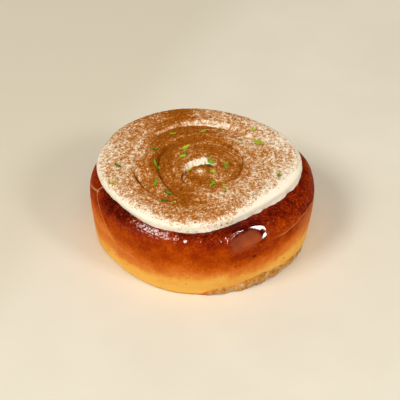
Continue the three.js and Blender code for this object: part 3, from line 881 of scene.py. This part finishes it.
rng = np.random.default_rng(14)
bm = bmesh.new()
shade = []
for right, behind, length, heading, bow in SHREDS:
    strip = bmesh.ops.create_grid(bm, x_segments=12, y_segments=4, size=0.5)["verts"]
    turn = Matrix.Rotation(math.radians(heading), 2)
    roll, lift, depth = rng.uniform(-0.9, 0.9), rng.uniform(0.2, 0.9), rng.uniform(0.2, 0.9)
    for vertex in strip:
        along, side = 2 * vertex.co.x, vertex.co.y
        notch = 1 + 0.16 * math.sin(17 * along + 30 * depth)
        width = side * ZEST_WIDTH * mix(1, TIP_SHARE, along ** 2) * notch
        laid = turn @ Vector((along * length / 2 * MM, width + bow * MM * along ** 2))
        place = (AXIS.to_2d() + Vector((right, behind))) * MM + laid
        curl = 1.6 * side * side + lift * along ** 2 + roll * side
        vertex.co = (*place, icing_below(*place)[0].z + LIFTED + CURLED * curl)
    shade += [depth] * len(strip)
zest = finished("lime_zest", bm)
note(zest, "shade", shade)
solidify = zest.modifiers.new("thickness", "SOLIDIFY")
solidify.thickness, solidify.offset = ZEST_THICKNESS, 1
subdivision = zest.modifiers.new("smooth", "SUBSURF")
subdivision.levels = subdivision.render_levels = 1
print("shreds:", len(SHREDS))

# %% Zest: material


def lime_peel(tree):
    """Grated lime peel: a little waxy, its green broken by oil glands 0.6 mm across."""
    position = add(tree, "TexCoord").outputs["Object"]
    glands = add(tree, "TexNoise", {"Vector": position, "Scale": 1000 / 0.9, "Detail": 2})
    shade = add(tree, "Attribute", attribute_name="shade").outputs["Fac"]
    level = add(tree, "MixRGB", {"Fac": 0.45, "Color1": glands, "Color2": shade})
    colour = add(tree, "ValToRGB", {"Fac": level}, stops=[
        (0.3, "#2b4a05"), (0.43, "#5d800b"), (0.56, "#93a818"), (0.72, "#c6cc38")])
    bump = add(tree, "Bump", {"Height": glands, "Strength": 0.5, "Distance": 0.2 * MM})
    return add(tree, "BsdfPrincipled", {
        "Base Color": colour, "Roughness": 0.4, "Specular IOR Level": 0.35, "Normal": bump,
        "Subsurface Weight": 0.1, "Subsurface Scale": 0.6 * MM, "Subsurface Radius": (1, 1, 0.1)})


dress(zest, "lime_peel", lime_peel)
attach(zest, "root")

# %% [markdown]
# ## The cinnamon
#
# Ground cinnamon is a fine powder with some coarser flakes of bark. The powder is in the icing's material;
# the flakes are real grains, because they stand proud of it and catch the light. One icosphere of twenty
# faces is the pattern for all, and they are strewn more thickly where there is more powder.

# %% Cinnamon: grains
GRAIN_DRAWS, STREWN_RADIUS = 15000, 43 * MM
FINEST, COARSER = 0.2, 0.06  # mm: the size of the finest grains, and how quickly coarser ones get rare
STRAY, CLINGS, SUNK = 0.015, 0.55, 0.12

middle = (AXIS + ICING) * MM
rng = np.random.default_rng(29)
distances = STREWN_RADIUS * np.sqrt(rng.random(GRAIN_DRAWS))
directions = TURN * rng.random(GRAIN_DRAWS)
chances = rng.random(GRAIN_DRAWS)
sizes = (FINEST + rng.gamma(2, COARSER, GRAIN_DRAWS)) * MM
flatnesses = rng.uniform(0.35, 0.7, GRAIN_DRAWS)
grain = bmesh.new()
bmesh.ops.create_icosphere(grain, subdivisions=1, radius=0.5)
corners = np.array([vertex.co[:] for vertex in grain.verts])
triangles = np.array([[vertex.index for vertex in face.verts] for face in grain.faces])

vertices, faces, shade = [], [], []
for distance, direction, chance, size, flatness in zip(distances, directions, chances, sizes, flatnesses):
    spot, normal, face = icing_below(middle.x + distance * math.cos(direction),
                                     middle.y + distance * math.sin(direction))
    if face is None or chance > STRAY + CLINGS * dust[icing_mesh.faces[face].verts[0].index]:
        continue
    flake = corners * size * (rng.uniform(0.7, 1.5), rng.uniform(0.6, 1), flatness)
    spin = Matrix.Rotation(rng.uniform(0, TURN), 3, "Z")
    lean = normal.to_track_quat("Z", "Y").to_matrix() @ spin
    faces.append(triangles + len(corners) * len(vertices))
    vertices.append(flake @ np.array(lean).T + spot + normal * SUNK * size)
    shade.append(np.full(len(corners), rng.random()))

# %% Cinnamon: all the grains as one mesh
mesh = bpy.data.meshes.new("cinnamon_grains")
mesh.from_pydata(np.concatenate(vertices), [], np.concatenate(faces))
grains = shown("cinnamon_grains", mesh)
note(grains, "shade", np.concatenate(shade))
print("grains:", len(vertices))

# %% Cinnamon: material


def ground_cinnamon(tree):
    """Flakes of ground cinnamon bark: quite matt, each of its own brown."""
    shade = add(tree, "Attribute", attribute_name="shade").outputs["Fac"]
    colour = add(tree, "ValToRGB", {"Fac": shade}, stops=[
        (0, "#7c3d0c"), (0.4, "#a05a1c"), (0.8, "#b87430"), (1, "#cf9656")])
    return add(tree, "BsdfPrincipled", {"Base Color": colour, "Roughness": 0.9, "Specular IOR Level": 0.2})


dress(grains, "ground_cinnamon", ground_cinnamon)
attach(grains, "root")

# %% [markdown]
# ## The crust
#
# Where butter and sugar ran out under the bun they set into a rough, see-through rim of caramel with crumbs
# stuck in it. It could be a bevelled curve; it is a cylinder cut into many short lengths, because that has
# vertices enough to be laid round the foot and roughened in code. Its sizes are its solid's.

# %% Crust: shape
CRUST_FROM, CRUST_TO = math.radians(-98), math.radians(-14)
CRUST_RADIUS, CRUST_WIDTH, CRUST_HEIGHT, CRUST_LUMPS = 45, 3.8, 4.4, 0.22
BULGE, TUCKED_IN = 0.8, 0.9
SEGMENTS, CUTS = 48, 420

# The cylinder is 1 mm long and 1 mm in radius, so that its places are shares of the crust's length and width.
bm = bmesh.new()
bmesh.ops.create_cone(bm, cap_ends=True, segments=SEGMENTS, radius1=MM, radius2=MM, depth=MM)
lengthwise = [edge for edge in bm.edges if abs(edge.verts[0].co.z - edge.verts[1].co.z) > MM / 2]
bmesh.ops.subdivide_edges(bm, edges=lengthwise, cuts=CUTS, use_grid_fill=True)
crust = finished("caramel_crust", bm)

# %% Crust: bend it round the foot and roughen it
COARSE_RELIEF, FINE_RELIEF = 0.55, 0.4
FILLING_ENDS = (0.13, 0.17)  # shares of the crust's length, from its left end

sideways, up, along = places(crust).T.copy()
along += 0.5
section_angle = np.arctan2(up, sideways)
fullness = np.sqrt(np.sin(math.pi * mix(0.02, 0.98, along))) * mix(0.4, 1, smooth_step(along, 0.06, 0.18))
lump = np.sin(31 * along + 1.3 * section_angle) * np.sin(17 * along + 2.1 * section_angle + 0.7)
swell = fullness * (1 + CRUST_LUMPS * lump)
direction = mix(CRUST_FROM, CRUST_TO, along)
distance = CRUST_RADIUS + waves(direction, BUN_WAVES) + sideways * swell * CRUST_WIDTH / 2
distance += BULGE * fullness - TUCKED_IN * (1 - smooth_step(along, 0.35, 0.75))
height = up * swell * CRUST_HEIGHT / 2 + CRUST_HEIGHT / 2 * fullness
height *= 1 + 0.45 * bell(along, 0.42, 0.35)
smooth = polar(distance, direction, height)
outer_side = sideways > -0.3
distance += COARSE_RELIEF * bumps(smooth, 2.6, 3, seed=31) * fullness * outer_side
height += FINE_RELIEF * bumps(smooth, 1.7, 2, seed=32) * fullness
put(crust, polar(distance, direction, np.maximum(0, height), AXIS))
note(crust, "filling", 1 - smooth_step(along, *FILLING_ENDS))
print("crust's highest point, mm:", round(height.max(), 1))

# %% Crust: material


def caramel(tree):
    """Set caramel, amber and glassy, with pale crumbs and grains of sugar 1 to 2 mm across baked into it."""
    position = add(tree, "TexCoord").outputs["Object"]
    crumbs = add(tree, "TexNoise", {"Vector": position, "Scale": 1000 / 1.8, "Detail": 3, "Roughness": 0.6})
    pores = add(tree, "TexNoise", {"Vector": position, "Scale": 1000 / 0.6, "Detail": 2})
    colour = add(tree, "ValToRGB", {"Fac": crumbs}, stops=[
        (0.34, "#b06c12"), (0.46, "#c98622"), (0.54, "#cf9642"), (0.6, "#cfa46e"), (0.68, "#dcc098")])

    # At its left end a little of the reddish filling ran out with the sugar.
    filling = add(tree, "Attribute", attribute_name="filling").outputs["Fac"]
    stained = add(tree, "Math", {0: filling, 1: 0.75}, operation="MULTIPLY")
    colour = add(tree, "MixRGB", {"Fac": stained, "Color1": colour, "Color2": linear("#d06c2c")})
    rough = add(tree, "MapRange", {
        "Value": crumbs, "From Min": 0.45, "From Max": 0.6, "To Min": 0.2, "To Max": 0.6})
    bump = add(tree, "Bump", {"Height": pores, "Strength": 0.6, "Distance": 0.4 * MM})
    return add(tree, "BsdfPrincipled", {
        "Base Color": colour, "Roughness": rough, "IOR": 1.5, "Normal": bump,
        "Subsurface Weight": 0.3, "Subsurface Scale": 1.2 * MM, "Subsurface Radius": (1, 0.5, 0.15)})


dress(crust, "set_caramel", caramel)
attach(crust, "root")
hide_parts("crust")
